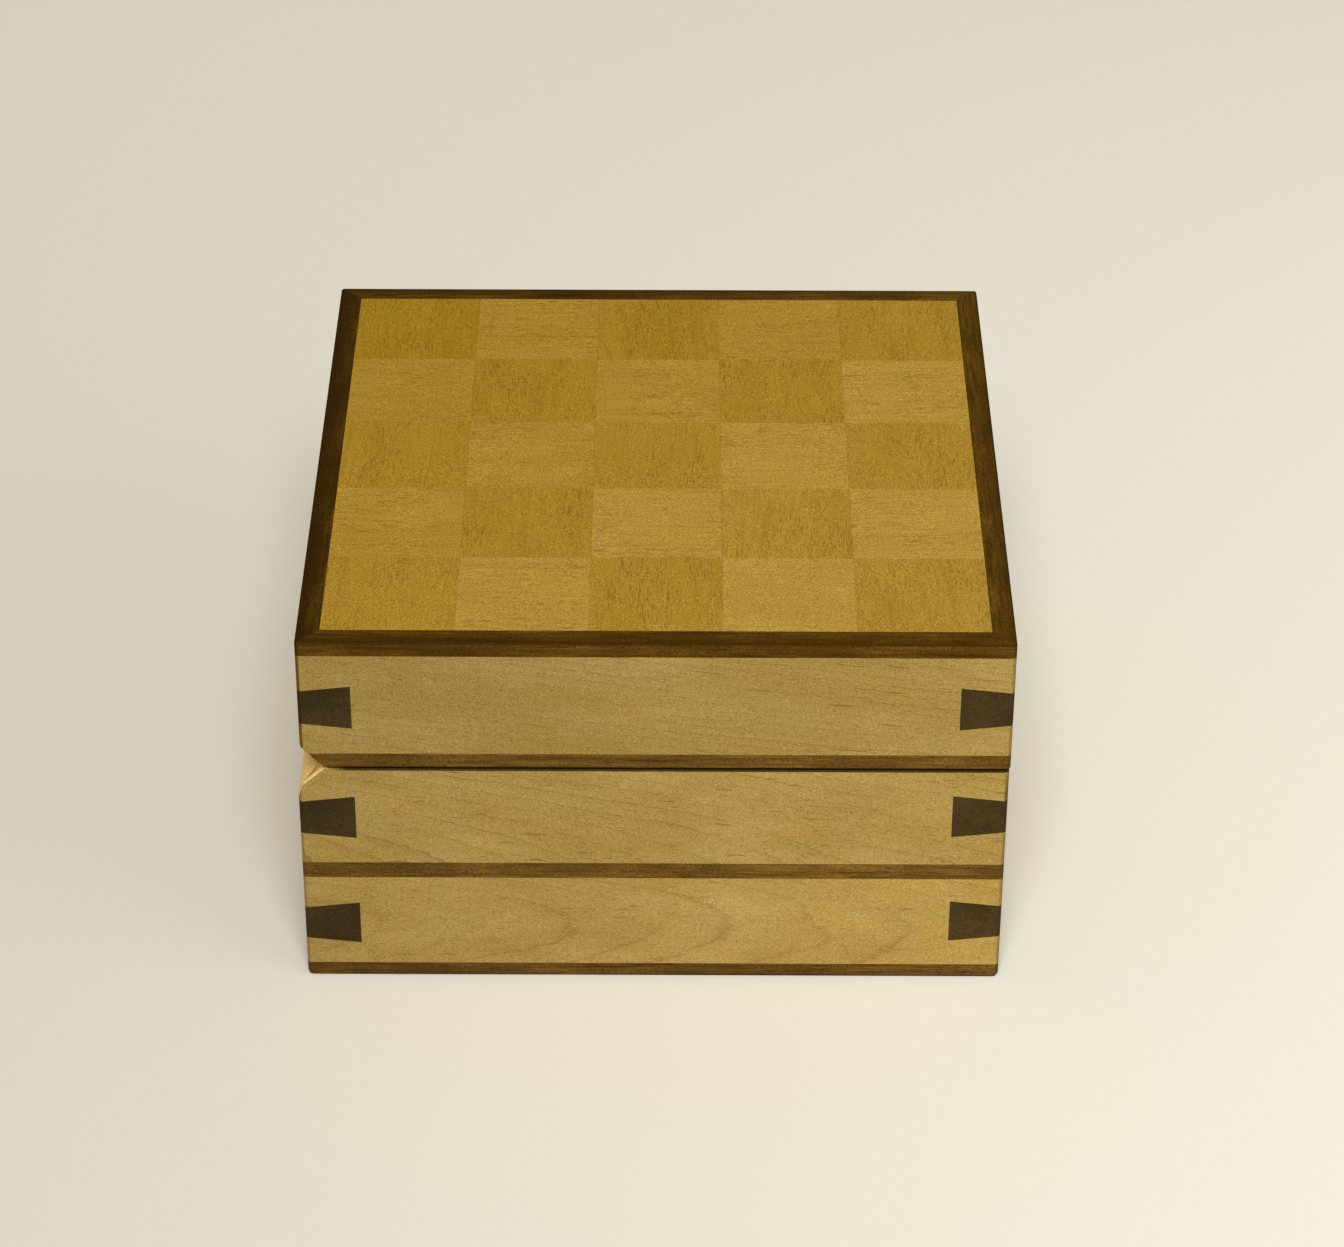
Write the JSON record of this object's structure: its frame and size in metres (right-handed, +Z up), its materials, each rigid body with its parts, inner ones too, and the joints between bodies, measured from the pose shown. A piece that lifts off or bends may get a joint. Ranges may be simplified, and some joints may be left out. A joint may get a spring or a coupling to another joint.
{
  "type": "wooden puzzle box",
  "caption": "Square keyed-mitre wooden box with a parquet top, walnut bands, a lid on concealed barrel hinges, a hidden tilt lock and a lift-out floor.",
  "frame": {"origin": "under the middle of the box, on the surface it stands on", "axes": "+Z up, -Y the front, and the lid hinges along the left side, which faces -X"},
  "size_m": [0.1532, 0.1524, 0.0888],
  "materials": {
    "maple_board": "satin oil, honey-coloured maple with fleck and flat-sawn figure",
    "maple_parquet": "satin oil, squares laid with the grain turned a quarter turn from square to square",
    "walnut_band": "satin oil, straight-grained dark walnut",
    "walnut_frame": "satin oil, dark walnut with an eased outer edge",
    "dark_key": "satin oil, near-black open-pored hardwood",
    "plywood_panel": "plain sanded birch plywood",
    "brass": "brushed, lightly tarnished",
    "steel": "brushed"
  },
  "bodies": {
    "base": {"lower_front_band": "walnut_band", "lower_right_band": "walnut_band", "lower_back_band": "walnut_band", "lower_left_band": "walnut_band", "lower_front_board": "maple_board", "lower_right_board": "maple_board", "lower_back_board": "maple_board", "lower_left_board": "maple_board", "lower_front_right_key": "dark_key", "lower_back_right_key": "dark_key", "lower_back_left_key": "dark_key", "lower_front_left_key": "dark_key", "upper_front_band": "walnut_band", "upper_right_band": "walnut_band", "upper_back_band": "walnut_band", "upper_left_band": "walnut_band", "upper_front_board": "maple_board", "upper_right_board": "maple_board", "upper_back_board": "maple_board", "upper_left_board": "maple_board", "upper_front_right_key": "dark_key", "upper_back_right_key": "dark_key", "upper_back_left_key": "dark_key", "upper_front_left_key": "dark_key", "bottom_panel": "plywood_panel", "front_hinge_base_barrel": "brass", "front_hinge_pin": "steel", "back_hinge_base_barrel": "brass", "back_hinge_pin": "steel", "lock_plate": "brass"},
    "lid": {"lid_front_band": "walnut_band", "lid_right_band": "walnut_band", "lid_back_band": "walnut_band", "lid_left_band": "walnut_band", "lid_front_board": "maple_board", "lid_right_board": "maple_board", "lid_back_board": "maple_board", "lid_left_board": "maple_board", "lid_front_right_key": "dark_key", "lid_back_right_key": "dark_key", "lid_back_left_key": "dark_key", "lid_front_left_key": "dark_key", "lid_front_frame": "walnut_frame", "lid_right_frame": "walnut_frame", "lid_back_frame": "walnut_frame", "lid_left_frame": "walnut_frame", "lid_core": "plywood_panel", "parquet_row_1": "maple_parquet", "parquet_row_2": "maple_parquet", "parquet_row_3": "maple_parquet", "parquet_row_4": "maple_parquet", "parquet_row_5": "maple_parquet", "front_hinge_lid_barrel": "brass", "back_hinge_lid_barrel": "brass", "lid_keeper": "brass", "keeper_front_screw": "steel", "keeper_back_screw": "steel"},
    "lock_bolt": {"lock_bolt": "steel"},
    "lift_out_floor": {"lift_out_floor": "plywood_panel"}
  },
  "joints": [
    {"name": "lid_hinge", "type": "hinge", "parent": "base", "child": "lid", "pos_m": [-0.0707, 0, 0.05625], "axis": [0, -1, 0], "range_deg": [0, 90]},
    {"name": "bolt_slide", "type": "slide", "parent": "base", "child": "lock_bolt", "axis": [0, 1, 0], "range_m": [0, 0.01]},
    {"name": "floor_lift", "type": "slide", "parent": "base", "child": "lift_out_floor", "axis": [0, 0, 1], "range_m": [0, 0.042]}
  ]
}
